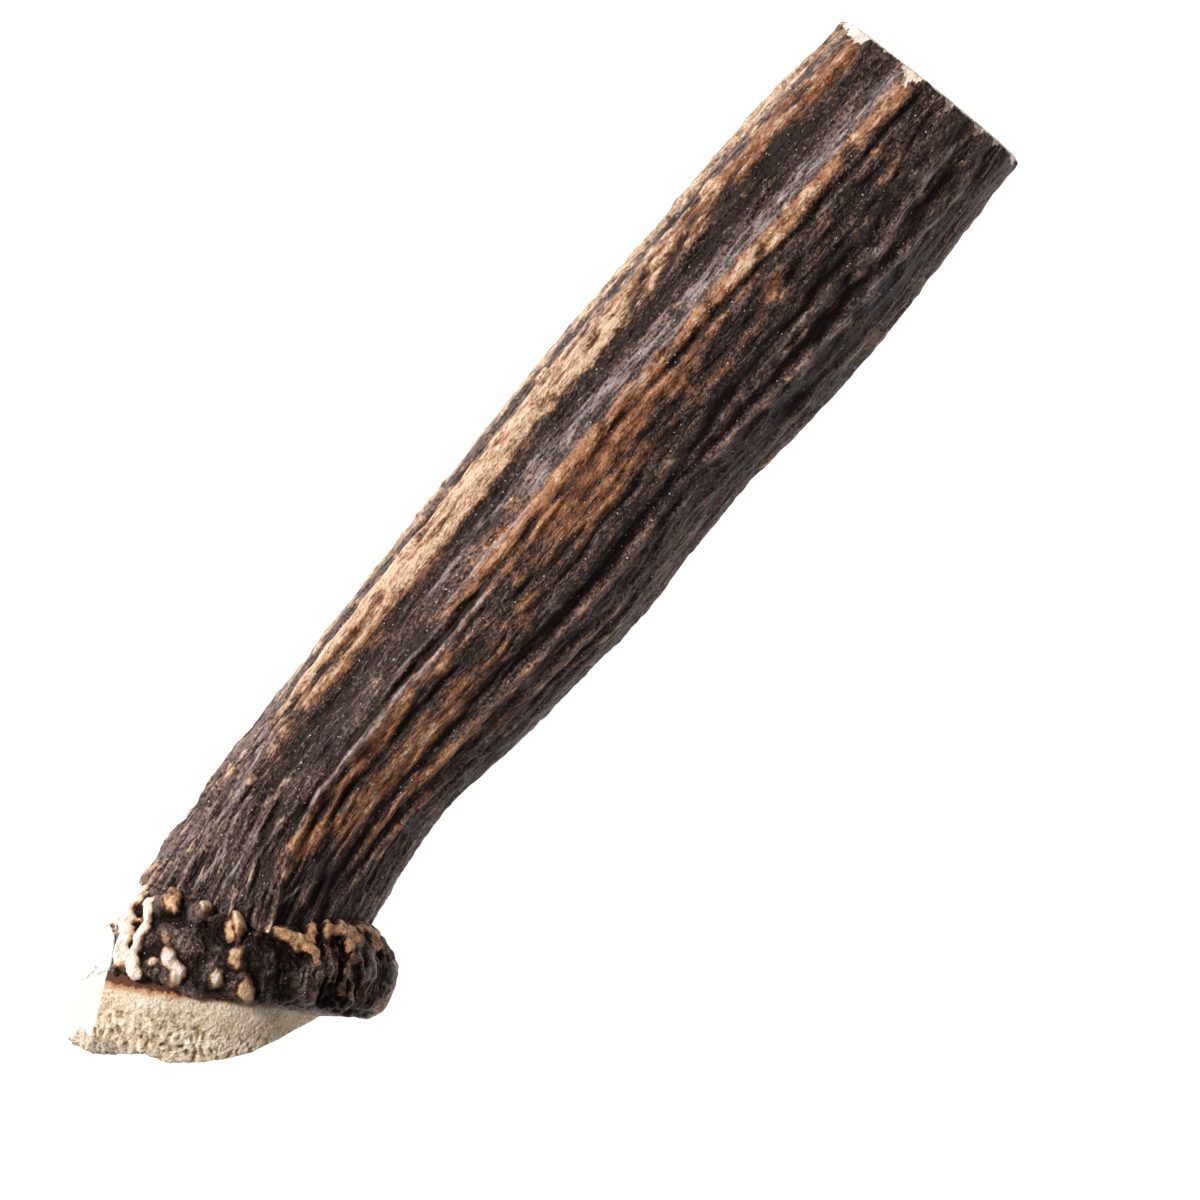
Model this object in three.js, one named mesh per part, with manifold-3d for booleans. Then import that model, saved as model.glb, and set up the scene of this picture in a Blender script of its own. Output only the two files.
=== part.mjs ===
// A sawn length of stag antler: the pedicle stub with its sawn facet, the burr with its pearls,
// and the beam, which is a wall of compact bone round a spongy core, sawn square at the far end.
// Millimetres, +Z up. The piece lies on its side, as it does on a bench, with the beam along +X.
import * as THREE from "three";
import { mergeVertices } from "three/addons/utils/BufferGeometryUtils.js";
import Module from "manifold-3d";

const wasm = await Module();
wasm.setup();

// ---- Driving dimensions, in mm and degrees ----

const GAP = 0.3; // between regions of bone that have grown together
const BURR_TILT = 31; // from the beam's axis to the burr's, in the plane of the bench

// The beam's cross-sections, from its root inside the burr to the sawn end. The centre is in the
// growth frame, whose X runs along the beam; tilt turns the section's plane about Z.
const BEAM_SECTIONS = [
  { centre: [6.4, -4.9, 0], tilt: BURR_TILT, halfWidth: 15.5, halfDepth: 14.8 },
  { centre: [16.1, 0.4, 0], tilt: BURR_TILT, halfWidth: 16.2, halfDepth: 15.0 },
  { centre: [30, 2, -0.5], tilt: 16, halfWidth: 14.4, halfDepth: 14.2 },
  { centre: [43, 2.6, -1.0], tilt: 6, halfWidth: 14.1, halfDepth: 13.8 },
  { centre: [60, 1.7, -1.7], tilt: 0, halfWidth: 15.3, halfDepth: 14.4 },
  { centre: [80, 0.9, -2.5], tilt: 0, halfWidth: 16.3, halfDepth: 15.0 },
  { centre: [103, 1.0, -3.4], tilt: 0, halfWidth: 16.3, halfDepth: 15.2 },
  { centre: [125, -0.2, -4.4], tilt: 0, halfWidth: 16.9, halfDepth: 15.4 },
  { centre: [145, -0.4, -5.3], tilt: 0, halfWidth: 16.6, halfDepth: 15.2 },
  { centre: [165, -1, -6.2], tilt: 0, halfWidth: 15.4, halfDepth: 14.6 },
];
const CORE_SHARE = 0.7; // the spongy core's width as a share of the beam's

// Broad ridges and valleys that run the length of the beam: the angle round it, from the top
// towards the facet's side, the rise of the crest and the half width of the ridge.
const BROAD_RIDGES = [
  { angle: 54, rise: 0.5, spread: 13 },
  { angle: 28, rise: -0.8, spread: 10 },
  { angle: 4, rise: 0.5, spread: 14 },
  { angle: -31, rise: -0.4, spread: 8 },
  { angle: 112, rise: -0.7, spread: 14 },
  { angle: 157, rise: 0.9, spread: 14 },
  { angle: 180, rise: -0.9, spread: 16 },
  { angle: -157, rise: 0.9, spread: 14 },
  { angle: -125, rise: -0.7, spread: 13 },
];

const SQUARENESS = 2.4; // of the burr's and the stub's sections; 2 would make them ellipses

// Sections across the burr's own axis: height along that axis, sideways place of the centre.
const BURR_SECTIONS = [
  { height: 0.3, aside: -4.4, halfWidth: 20.0, halfDepth: 18.2 },
  { height: 3.5, aside: -5.7, halfWidth: 21.0, halfDepth: 19.2 },
  { height: 7.5, aside: -7.4, halfWidth: 20.6, halfDepth: 19.0 },
  { height: 11, aside: -8.1, halfWidth: 18.8, halfDepth: 17.6 },
  { height: 14, aside: -8.0, halfWidth: 16.4, halfDepth: 16.0 },
];
const PEARL_ROWS = [
  { height: 2.4, count: 16, radius: 2.3, turn: 11, sunk: 1.3 },
  { height: 7.4, count: 13, radius: 2.0, turn: 15, sunk: 1.3 },
  { height: 11.6, count: 17, radius: 2.1, turn: 6, sunk: 1.2 },
];
const FOOT_PEARLS = [156, 204]; // two large pearls under the burr that it stands on
const FOOT_HEIGHT = 5;
const FOOT_RADIUS = 3.7;
const FOOT_SUNK = 0.76;

const STUB_SECTIONS = [
  { height: 2.6, aside: -1.4, halfWidth: 18.0, halfDepth: 16.8 },
  { height: -1, aside: -0.9, halfWidth: 18.2, halfDepth: 16.9 },
  { height: -6, aside: -0.5, halfWidth: 18.0, halfDepth: 16.4 },
  { height: -11, aside: -0.8, halfWidth: 17.2, halfDepth: 15.6 },
];

// Flat cuts, in the burr's frame (height, aside, up): a point on the cut and the way it faces.
const SAWN_FACET = { point: [0, 11.2, 14], faces: [0.1, 1, 0.2] };
const STUB_END = { point: [-8.4, 2, 0], faces: [-1, -0.06, -0.05] };
const STUB_BEVEL = { point: [-2.4, -15.3, 0], faces: [-0.78, -0.62, 0.05] };
const STUB_CHIP = { point: [-7.4, 11, 12.5], faces: [-0.75, 0.35, 0.56] };

// From the growth frame to the middle of the footprint on the bench.
const TO_FOOTPRINT = new THREE.Vector3(-74.5, 2.5, 20.86);

const BEAM_ROUND = 40;
const BEAM_LONG = 28;
const CORE_ROUND = 20;
const CORE_LONG = 20;
const RING_ROUND = 44;
const RING_LONG = 6;
const CUTTER = 140; // larger than anything that a flat cut removes

// ---- Helpers ----

const UP = new THREE.Vector3(0, 0, 1);
const burrAxis = direction(BURR_TILT);
const burrAside = sideways(BURR_TILT);

function direction(tilt) {
  const a = THREE.MathUtils.degToRad(tilt);
  return new THREE.Vector3(Math.cos(a), Math.sin(a), 0);
}

function sideways(tilt) {
  const a = THREE.MathUtils.degToRad(tilt);
  return new THREE.Vector3(-Math.sin(a), Math.cos(a), 0);
}

// A point or direction of the burr's frame, in the growth frame.
function fromBurrFrame([height, aside, up]) {
  return new THREE.Vector3()
    .addScaledVector(burrAxis, height)
    .addScaledVector(burrAside, aside)
    .addScaledVector(UP, up);
}

function burrSection({ height, aside, halfWidth, halfDepth }) {
  const centre = fromBurrFrame([height, aside, 0]).toArray();
  return { centre, tilt: BURR_TILT, halfWidth, halfDepth };
}

// A smooth run through the sections: at(t) gives the section at t, from 0 to 1.
function smoothRun(sections) {
  const centres = sections.map((s) => new THREE.Vector3(...s.centre));
  const forms = sections.map((s) => new THREE.Vector3(s.tilt, s.halfWidth, s.halfDepth));
  const path = new THREE.CatmullRomCurve3(centres, false, "catmullrom");
  const form = new THREE.CatmullRomCurve3(forms, false, "catmullrom");
  return (t) => {
    const [tilt, halfWidth, halfDepth] = form.getPoint(t).toArray();
    return { centre: path.getPoint(t), tilt, halfWidth, halfDepth };
  };
}

// How far the bark stands out at an angle round the beam, in degrees from its top.
function barkRise(angle) {
  return BROAD_RIDGES.reduce((sum, ridge) => {
    const away = THREE.MathUtils.euclideanModulo(angle - ridge.angle + 180, 360) - 180;
    return sum + ridge.rise * Math.exp(-((away / ridge.spread) ** 2));
  }, 0);
}

// How far a squarish section reaches, given how far a circle does.
function squarish(reach) {
  return Math.sign(reach) * Math.abs(reach) ** (2 / SQUARENESS);
}

// A cylinder bent and swelled so that its rings lie on the sections of a run. share scales the
// sections, extra grows them, rise adds a height that changes with the angle, and outline turns
// the circle into another shape.
function loft(at, round, long, { share = 1, extra = 0, rise = () => 0, outline = (r) => r } = {}) {
  const geometry = new THREE.CylinderGeometry(1, 1, 1, round, long);
  const place = geometry.attributes.position;
  for (let i = 0; i < place.count; i++) {
    const side = place.getX(i);
    const top = -place.getZ(i);
    const t = THREE.MathUtils.clamp(place.getY(i) + 0.5, 0, 1);
    const { centre, tilt, halfWidth, halfDepth } = at(t);
    const grow = extra + rise(THREE.MathUtils.radToDeg(Math.atan2(side, top)));
    const point = centre
      .clone()
      .addScaledVector(sideways(tilt), outline(side) * (halfWidth * share + grow))
      .addScaledVector(UP, outline(top) * (halfDepth * share + grow));
    place.setXYZ(i, point.x, point.y, point.z);
  }
  return geometry;
}

function solidOf(geometry) {
  const bare = new THREE.BufferGeometry();
  bare.setAttribute("position", geometry.getAttribute("position"));
  bare.setIndex(geometry.index);
  const merged = mergeVertices(bare, 1e-4);
  return new wasm.Manifold(
    new wasm.Mesh({
      numProp: 3,
      vertProperties: new Float32Array(merged.attributes.position.array),
      triVerts: new Uint32Array(merged.index.array),
    }),
  );
}

function geometryOf(solid) {
  const mesh = solid.getMesh();
  const geometry = new THREE.BufferGeometry();
  geometry.setAttribute("position", new THREE.BufferAttribute(mesh.vertProperties, 3));
  geometry.setIndex(new THREE.BufferAttribute(mesh.triVerts, 1));
  geometry.computeVertexNormals();
  return geometry;
}

// What is left of a solid behind a flat cut.
function cutFlat(solid, { point, faces }) {
  const cutter = new THREE.BoxGeometry(CUTTER, CUTTER, CUTTER).translate(0, 0, CUTTER / 2);
  const facing = fromBurrFrame(faces).normalize();
  cutter.applyQuaternion(new THREE.Quaternion().setFromUnitVectors(UP, facing));
  cutter.translate(...fromBurrFrame(point).toArray());
  return solid.subtract(solidOf(cutter));
}

// ---- The regions of bone ----

const beamAt = smoothRun(BEAM_SECTIONS);
const stubAt = smoothRun(STUB_SECTIONS.map(burrSection).reverse());
const burrAt = smoothRun(BURR_SECTIONS.map(burrSection));

function beamCompactBone() {
  const outside = solidOf(loft(beamAt, BEAM_ROUND, BEAM_LONG, { rise: barkRise }));
  const bore = loft(beamAt, CORE_ROUND, CORE_LONG, { share: CORE_SHARE, extra: GAP });
  return outside.subtract(solidOf(lengthened(bore)));
}

// The same loft with its end caps pushed out past the beam's, so that it bores right through.
function lengthened(geometry) {
  const last = BEAM_SECTIONS.length - 1;
  const ends = [
    { section: BEAM_SECTIONS[0], way: -1 },
    { section: BEAM_SECTIONS[last], way: 1 },
  ];
  const place = geometry.attributes.position;
  const point = new THREE.Vector3();
  for (let i = 0; i < place.count; i++) {
    point.fromBufferAttribute(place, i);
    for (const { section, way } of ends) {
      const out = direction(section.tilt);
      const along = point.clone().sub(new THREE.Vector3(...section.centre)).dot(out);
      if (Math.abs(along) < 1e-3) place.setXYZ(i, ...point.addScaledVector(out, way).toArray());
    }
  }
  return geometry;
}

function beamSpongyCore() {
  return solidOf(loft(beamAt, CORE_ROUND, CORE_LONG, { share: CORE_SHARE }));
}

function pearl(height, degrees, radius, sunk) {
  const low = BURR_SECTIONS[0].height;
  const high = BURR_SECTIONS[BURR_SECTIONS.length - 1].height;
  const { centre, halfWidth, halfDepth } = burrAt((height - low) / (high - low));
  const a = THREE.MathUtils.degToRad(degrees);
  const place = centre
    .addScaledVector(burrAside, squarish(Math.sin(a)) * (halfWidth - sunk))
    .addScaledVector(UP, squarish(Math.cos(a)) * (halfDepth - sunk));
  return solidOf(new THREE.IcosahedronGeometry(radius, 1).translate(...place.toArray()));
}

function burrRing(rootSolid, stubSolid) {
  let ring = solidOf(loft(burrAt, RING_ROUND, RING_LONG, { outline: squarish }));
  for (const { height, count, radius, turn, sunk } of PEARL_ROWS) {
    for (let i = 0; i < count; i++) {
      const size = radius * (1 + 0.15 * Math.sin(2.4 * i));
      ring = ring.add(pearl(height, turn + (360 * i) / count, size, sunk));
    }
  }
  for (const degrees of FOOT_PEARLS) {
    ring = ring.add(pearl(FOOT_HEIGHT, degrees, FOOT_RADIUS, FOOT_SUNK));
  }
  return cutFlat(ring.subtract(rootSolid).subtract(stubSolid), SAWN_FACET);
}

function pedicleStub(grow = 0) {
  return solidOf(loft(stubAt, RING_ROUND, RING_LONG, { extra: grow, outline: squarish }));
}

function sawnStub() {
  const cuts = [SAWN_FACET, STUB_END, STUB_BEVEL, STUB_CHIP];
  return cuts.reduce(cutFlat, pedicleStub());
}

// The beam's root and the stub, each grown by the gap, which the burr closes round.
function grownRoot() {
  return solidOf(loft(beamAt, BEAM_ROUND, BEAM_LONG, { extra: GAP, rise: barkRise }));
}

// The slice of burr frame between the stub's top and the beam's root, so that the ring stays open.
function slotBetween() {
  const { halfWidth, halfDepth } = BEAM_SECTIONS[0];
  const slot = new THREE.CylinderGeometry(1, 1, 2, BEAM_ROUND)
    .scale(halfWidth - 1, 1, halfDepth - 1)
    .rotateZ(THREE.MathUtils.degToRad(BURR_TILT - 90))
    .translate(...BEAM_SECTIONS[0].centre);
  return solidOf(slot);
}

function material(color, roughness) {
  return new THREE.MeshStandardMaterial({ color, roughness, metalness: 0 });
}

const looks = {
  bark: material("#4a3527", 0.62),
  pearls: material("#5a4334", 0.58),
  spongy: material("#b9a387", 0.9),
  bone: material("#d8ccb0", 0.85),
};

function named(name, solid, look) {
  const mesh = new THREE.Mesh(geometryOf(solid), look);
  mesh.name = name;
  return mesh;
}

const antler = new THREE.Group();
antler.add(named("beam_compact_bone", beamCompactBone(), looks.bark));
antler.add(named("beam_spongy_core", beamSpongyCore(), looks.spongy));
antler.add(
  named("burr_ring", burrRing(grownRoot().add(slotBetween()), pedicleStub(GAP)), looks.pearls),
);
antler.add(named("pedicle_stub", sawnStub(), looks.bone));
antler.position.copy(TO_FOOTPRINT);

export default antler;
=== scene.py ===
"""The looks of a sawn length of stag antler: its grooved bark, pearled burr, bony stub and sawn
faces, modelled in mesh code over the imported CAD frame.

Tables are in millimetres and degrees, the beam's in the growth frame, whose X runs along the beam,
and the others in the burr's frame. The finished meshes are in metres in the row frame."""

import itertools
import math

import bpy
import numpy as np
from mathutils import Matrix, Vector


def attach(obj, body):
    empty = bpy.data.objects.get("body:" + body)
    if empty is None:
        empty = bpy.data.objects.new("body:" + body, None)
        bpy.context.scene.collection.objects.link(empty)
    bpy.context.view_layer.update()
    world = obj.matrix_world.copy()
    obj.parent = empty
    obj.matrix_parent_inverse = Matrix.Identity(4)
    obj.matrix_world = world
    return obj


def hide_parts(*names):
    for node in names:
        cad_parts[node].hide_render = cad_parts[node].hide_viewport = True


MM = 0.001
TO_FOOTPRINT = np.array([-74.5, 2.5, 20.86])  # from the growth frame to the middle of the footprint
BURR_TILT = 31  # from the beam's axis to the burr's, in the plane of the bench

# ---- The beam ----

# Cross-sections from the root, inside the burr, to the sawn end: centre x, y and z, the turn of
# the section's plane, half width and half depth.
BEAM_SECTIONS = [
    (6.4, -4.9, 0, 31, 15.5, 14.8), (16.1, 0.4, 0, 31, 16.2, 15), (30, 2, -0.5, 16, 14.4, 14.2),
    (43, 2.6, -1, 6, 14.1, 13.8), (60, 1.7, -1.7, 0, 15.3, 14.4), (80, 0.9, -2.5, 0, 16.3, 15),
    (103, 1, -3.4, 0, 16.3, 15.2), (125, -0.2, -4.4, 0, 16.9, 15.4), (145, -0.4, -5.3, 0, 16.6, 15.2),
    (165, -1, -6.2, 0, 15.4, 14.6),
]
BEAM_END = 165  # the x of the sawn end
CORE_SHARE = 0.7  # the spongy core's width as a share of the beam's
BORE_SHARE = CORE_SHARE + 0.02  # the bore it sits in, a hair wider

# Broad ridges and valleys along the whole beam: angle from the top, rise and half width.
BROAD_RIDGES = [
    (54, 0.5, 13), (28, -0.8, 10), (4, 0.5, 14), (-31, -0.4, 8), (112, -0.7, 14), (157, 0.9, 14),
    (180, -0.9, 16), (-157, 0.9, 14), (-125, -0.7, 13),
]

# Where the beam's two edges lie seen from above: x, far edge y, near edge y. Bark features below
# are placed by x and by the angle from the top that these edges give.
BEAM_EDGES = [
    (10, 15.5, -14.5), (20, 15.2, -13.4), (30, 15.9, -12.4), (40, 16.2, -11), (60, 16.9, -13.2),
    (80, 17.2, -15.5), (100, 17.4, -15.1), (120, 16.8, -17), (140, 16.4, -17.5), (152, 15.3, -16.9),
    (165, 14, -16.2),
]

# Worn ridges: half width and height, warmth of the tone, then (x, angle) along the crest.
RIDGES = [
    (2.2, 0.3, 0.1, [(18, 34), (24, 39), (32, 48), (40, 54), (50, 56)]),
    (2.6, 0.4, 0.9, [(42, 54), (50, 56), (75, 54), (110, 51), (150, 51), (165, 51)]),
    (0.9, 0.22, 0.4, [(34, 58), (42, 61), (52, 64), (70, 64), (92, 62)]),
    (0.9, 0.22, 1, [(44, 43), (52, 45), (66, 46), (80, 45)]),
    (1.3, 0.38, 0.9, [(62, 14), (72, 15), (84, 15), (95, 13), (105, 12), (113, 15), (122, 15), (130, 13)]),
    (1.3, 0.42, 1, [(128, 14), (134, 12), (142, 11), (152, 12), (165, 11)]),
    (0.7, 0.25, 0.6, [(44, 13), (50, 15), (54, 13), (60, 12)]),
    (0.3, 0.22, 0.2, [(64, 15), (70, 17.5), (78, 18)]),
    (0.3, 0.22, 0.1, [(100, 14), (107, 15), (112, 18), (120, 18.5), (128, 18)]),
    (1.2, 0.22, 0, [(70, 26), (95, 25), (108, 24), (120, 24), (132, 23), (142, 19.5), (158, 19)]),
    (0.5, 0.42, 0.5, [(25, 0), (30, 3.8), (37, 4.8), (45, 3.4), (53, 4.4), (60, 3.8), (66, 4.3), (78, 6.8),
        (90, 7)]),
    (0.5, 0.3, 0.4, [(98, 5), (106, 6.3), (118, 7), (130, 6), (138, 1.4), (150, 1.2), (165, 1.2)]),
    (1.6, 0.2, 0.8, [(26, -2), (38, -4), (50, -3), (64, 0)]),
    (2.4, 0.22, 0.55, [(26, -15), (34, -19), (45, -22), (58, -19), (76, -16)]),
    (1, 0.36, 0.3, [(26, -31), (35, -35.5), (50, -38), (62, -38.5), (78, -37.5), (94, -38.5)]),
    (1.2, 0.34, 0.35, [(28, -45), (37, -49), (50, -51), (62, -51.5), (84, -54)]),
    (0.9, 0.2, 0.1, [(33, -61), (60, -64), (90, -63)]),
    (0.6, 0.48, 0.1, [(101, -32), (106, -28.5), (112, -27), (118, -28.5)]),
    (0.6, 0.44, 0.3, [(117, -26), (122, -23), (129, -24.5)]),
    (0.7, 0.46, 0.2, [(128, -28), (133, -25.5), (138, -25.5), (143, -30)]),
    (0.6, 0.42, 0, [(136, -33), (141, -31.5), (146, -34)]),
    (0.6, 0.42, 0.2, [(144, -31), (149, -28.5), (155, -28)]),
    (0.6, 0.48, 0.1, [(103, -37.5), (110, -37), (118, -38), (126, -39.5), (131, -42.5)]),
    (0.6, 0.44, 0, [(130, -42), (134, -39), (137, -41)]),
    (0.6, 0.44, 0.1, [(135, -43.5), (139, -41.5), (145, -43), (152, -46), (160, -47)]),
    (0.8, 0.26, 0, [(98, -58), (110, -57), (122, -61), (134, -64)]),
]

# Grooves: half width and depth, then (x, angle) along the bottom.
GROOVES = [
    (1, 0.25, [(24, 27), (34, 33), (50, 37), (80, 37), (110, 36), (140, 35), (165, 34)]),
    (0.5, 0.65, [(27, 7.5), (34, 8.6), (50, 8.6), (62, 8.3), (72, 9.3), (84, 10.6), (95, 8), (118, 9.4),
        (128, 9)]),
    (0.5, 0.65, [(126, 9), (134, 6), (141, 3.6), (148, 3.2), (165, 4.4)]),
    (0.6, 0.4, [(40, 56), (48, 55), (58, 52)]),
    (0.9, 0.4, [(22, -7), (34, -9), (48, -10), (62, -9), (78, -7)]),
    (0.8, 0.5, [(22, -25), (30, -28.5), (42, -31), (52, -30), (62, -28), (74, -28), (86, -30), (97, -29.5)]),
    (1, 0.4, [(96, -31), (102, -29.5), (108, -24), (116, -21), (128, -20), (142, -21)]),
    (0.9, 0.24, [(26, -37.5), (35, -41), (48, -43), (64, -43.5)]),
    (0.35, 0.2, [(60, -42), (80, -42), (100, -42)]),
    (0.35, 0.2, [(58, -45.5), (80, -46), (98, -47)]),
    (0.8, 0.4, [(28, -53), (38, -57), (60, -59), (90, -60)]),
    (0.8, 0.4, [(104, -33), (114, -33), (124, -34), (132, -35)]),
    (0.8, 0.35, [(132, -31), (138, -36), (147, -38), (160, -37)]),
    (0.9, 0.4, [(112, -50), (120, -54), (128, -57), (140, -58)]),
    (0.5, 0.5, [(52, 67), (64, 67), (76, 66), (90, 67), (99, 66)]),
]

# Pits in the bark: x, angle, half length, half width, depth, and climb in degrees per mm.
PITS = [
    (47, 53, 3, 0.9, 0.4, -0.8), (53, 50, 3.2, 0.8, 0.4, 0.4), (61, 55, 3, 0.7, 0.35, 0.2),
    (75, 52, 3.4, 0.9, 0.45, 0.4), (97, 49, 3.2, 0.8, 0.45, 0.6), (108, 52, 2.8, 0.9, 0.4, 0.8),
    (114, 45, 4.2, 0.9, 0.4, 1.2), (118, 54, 3.4, 0.8, 0.4, 0.9), (126, 50, 4.6, 1.3, 0.55, 0.8),
    (135, 48, 4.2, 1.5, 0.5, 0.6), (144, 45, 3.8, 1.3, 0.45, 0.8), (151, 54, 3, 1.2, 0.45, 0.6),
    (33, -2.8, 4.4, 0.6, 0.45, -0.2), (38, -8, 4, 0.6, 0.4, 0), (43.5, -13, 1.8, 0.7, 0.4, 0.6),
    (50, -8, 4.6, 0.6, 0.42, 0), (54, -3.4, 3, 0.6, 0.4, 0.3), (60, -8.6, 3.6, 0.6, 0.4, 0),
    (28, -16, 3, 0.7, 0.4, 1.2), (122, -3, 4.6, 1.2, 0.35, 0.1), (133, -5, 3, 1.2, 0.3, 0.3),
    (146, -6, 4, 1.4, 0.3, 0.2), (103, -8, 2.6, 0.7, 0.3, 0.1), (99.5, 13, 1.5, 1.2, 0.3, 1.5),
    (112.5, 13, 1.4, 1.3, 0.3, 1.5), (121.5, 14, 1.2, 1.2, 0.28, 1.5), (132, 12, 1.6, 1.3, 0.36, 1.5),
    (150.5, 11, 1.6, 1.4, 0.34, 1.5),
]

# Patches of bark: x, angle, half length, half angle and strength. These are worn to orange-brown.
WARM_PATCHES = [
    (93, 2, 15, 12, 0.85), (28, -6, 7, 10, 0.75), (45, -3, 14, 5, 0.5), (46, -20, 17, 8, 0.75),
    (80, 51, 34, 12, 1), (128, 13, 38, 4, 0.6), (130, 53, 28, 9, 0.7), (36, 43, 10, 5, 0.35),
    (113, 3, 10, 5, 0.5), (100, -11, 22, 6, 0.4), (150, 55, 10, 8, 0.3), (129, -3, 3.5, 4, 0.7),
    (139, -8, 5, 5, 0.6), (118, -8, 8, 4, 0.4), (151, -10, 5, 7, 0.35), (60, 32, 10, 6, 0.25),
    (80, 24, 10, 6, 0.2), (44, -38, 18, 12, 0.36), (78, -38, 24, 5, 0.12),
]
# Those worn down to cream bone.
PALE_PATCHES = [
    (72, 58, 26, 7, 0.7), (78, 46, 32, 4.5, 0.92), (108, 50, 14, 8, 0.45), (138, 54, 20, 6, 0.4),
    (52, 62, 12, 5, 0.3), (145, 12, 22, 3.5, 0.25), (112, 13, 18, 3, 0.25), (110, 64, 40, 5, 0.4),
    (46, -20, 15, 6, 0.3),
]
# Narrow crests and streaks painted pale, as painted highlights and painted sheen: half width, strength, then
# (x, angle).
PAINTED_SHEEN_LINES = [
    (0.35, 1, [(27, 3), (30, 5.5), (35, 6.5), (38, 4), (45, 4.5), (52, 5.5), (58, 4), (65, 4.8), (72, 6.5)]),
    (0.3, 0.7, [(48, 15), (52, 16), (56, 13.5), (61, 13)]),
    (0.3, 0.8, [(63, 15.5), (70, 18), (77, 18.5), (86, 17)]),
    (0.3, 0.6, [(100, 14.5), (108, 15), (112, 18), (126, 18.5)]),
    (1.3, 0.72, [(84, 24), (104, 24), (120, 24), (132, 22), (140, 20), (152, 19.5), (165, 19)]),
    (0.7, 0.6, [(62, 25), (74, 30), (90, 31), (106, 28)]),
    (0.5, 0.9, [(11, 24), (14, 32), (20.5, 34), (24, 39.5), (28, 47), (36, 56)]),
    (1, 0.6, [(12, 45), (16, 48), (21, 49.5), (29, 49), (38, 52)]),
    (0.6, 0.7, [(13, 55), (20, 60), (30, 62), (44, 64)]),
    (0.4, 0.8, [(14, 16), (17, 20), (21, 20.5), (28, 27)]),
    (0.35, 0.8, [(15, -18), (18, -10), (20.5, -12), (25, -16)]),
    (0.35, 0.3, [(20, -37), (23, -30.5), (27, -30.5), (31, -36)]),
    (0.3, 0.4, [(137, 2), (148, 1.5), (160, 1.2)]),
    (0.45, 0.3, [(62, -37.5), (80, -37), (96, -37), (110, -36.5), (124, -38.5), (131, -41)]),
    (0.5, 0.6, [(118, -24), (124, -24.5), (129, -24.5), (133, -27)]),
    (0.5, 0.8, [(139, -28), (144, -31), (149, -30), (155, -27.5), (162, -30)]),
    (0.5, 0.75, [(128, -41), (134, -42), (140, -42), (150, -47), (160, -54)]),
    (1.6, 0.25, [(58, -45), (80, -46), (102, -47)]),
]
# Where the bark's colour is darkened nearly to black.
DARK_PATCHES = [
    (22, 14, 12, 14, 0.9), (42, 24, 16, 11, 0.6), (22, -16, 8, 12, 0.9), (18, -42, 8, 22, 0.9),
    (110, 35, 40, 6, 0.8), (150, 38, 14, 10, 0.5), (118, -18, 24, 6, 0.6), (145, -16, 18, 8, 0.5),
    (130, -52, 30, 9, 0.7), (70, -30, 34, 4, 0.6), (24, 42, 14, 24, 0.8), (145, -55, 24, 10, 0.6),
]
# Where the bark breaks into short lumps, not long fibres.
LUMPY_PATCHES = [
    (102, 4, 24, 11, 0.8), (45, -6, 18, 8, 0.9), (134, -36, 30, 22, 1), (130, 50, 34, 11, 0.9),
    (92, 50, 20, 9, 0.5), (50, 54, 12, 12, 0.6), (138, -5, 16, 12, 0.6), (30, 40, 10, 14, 0.35),
    (128, 13, 40, 4, 0.7),
]
# Where the bark is rubbed nearly smooth.
SMOOTH_PATCHES = [
    (46, -20, 17, 8, 0.9), (70, -14, 14, 6, 0.5), (110, 23, 40, 4, 0.5), (76, 57, 22, 6, 0.3),
    (88, 3, 14, 8, 0.35), (78, 45, 26, 4, 0.5), (80, -46, 24, 4, 0.5),
]

# Where the bark has chipped off along the sawn edge: angle, half angle and reach.
EDGE_CHIPS = [
    (68, 22, 1.8), (56, 8, 2.4), (14, 7, 2.4), (-12, 4, 1.1), (-34, 5, 1.3), (-50, 4, 1.1),
    (-80, 14, 1.3), (150, 16, 1.8),
]

# ---- The burr, in its own frame: height along its axis, place aside, up ----

SQUARENESS = 2.4  # of the burr's and the stub's sections; 2 would make them ellipses
# Sections: height, aside of the centre, half width, half depth.
BURR_SECTIONS = [
    (0.3, -4.4, 20, 18.2), (3.5, -5.7, 21, 19.2), (7.5, -7.4, 20.6, 19),
    (11, -8.1, 18.8, 17.6), (14, -8, 16.4, 16),
]
# The ring's outline: height and distance inside the widest surface.
BURR_PROFILE = [
    (3, 10), (1.4, 8), (0.9, 4), (0.8, 1.5), (1.3, 0.4), (2.6, 0),
    (6, 0), (9.5, 0), (12.2, 0.2), (13.6, 0.8), (14.2, 2), (13.4, 4.5),
]
# The ring's upper edge on the visible side: place aside and height.
BURR_RIM = [
    (-26, 13.6), (-22.8, 13.7), (-18.2, 13), (-15.9, 12.4), (-11.8, 11.8), (-9.2, 11.9),
    (-6, 12.6), (-2.7, 11.4), (-0.2, 13.2), (3, 13.7), (7, 14.6), (12, 14.6),
]
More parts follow.
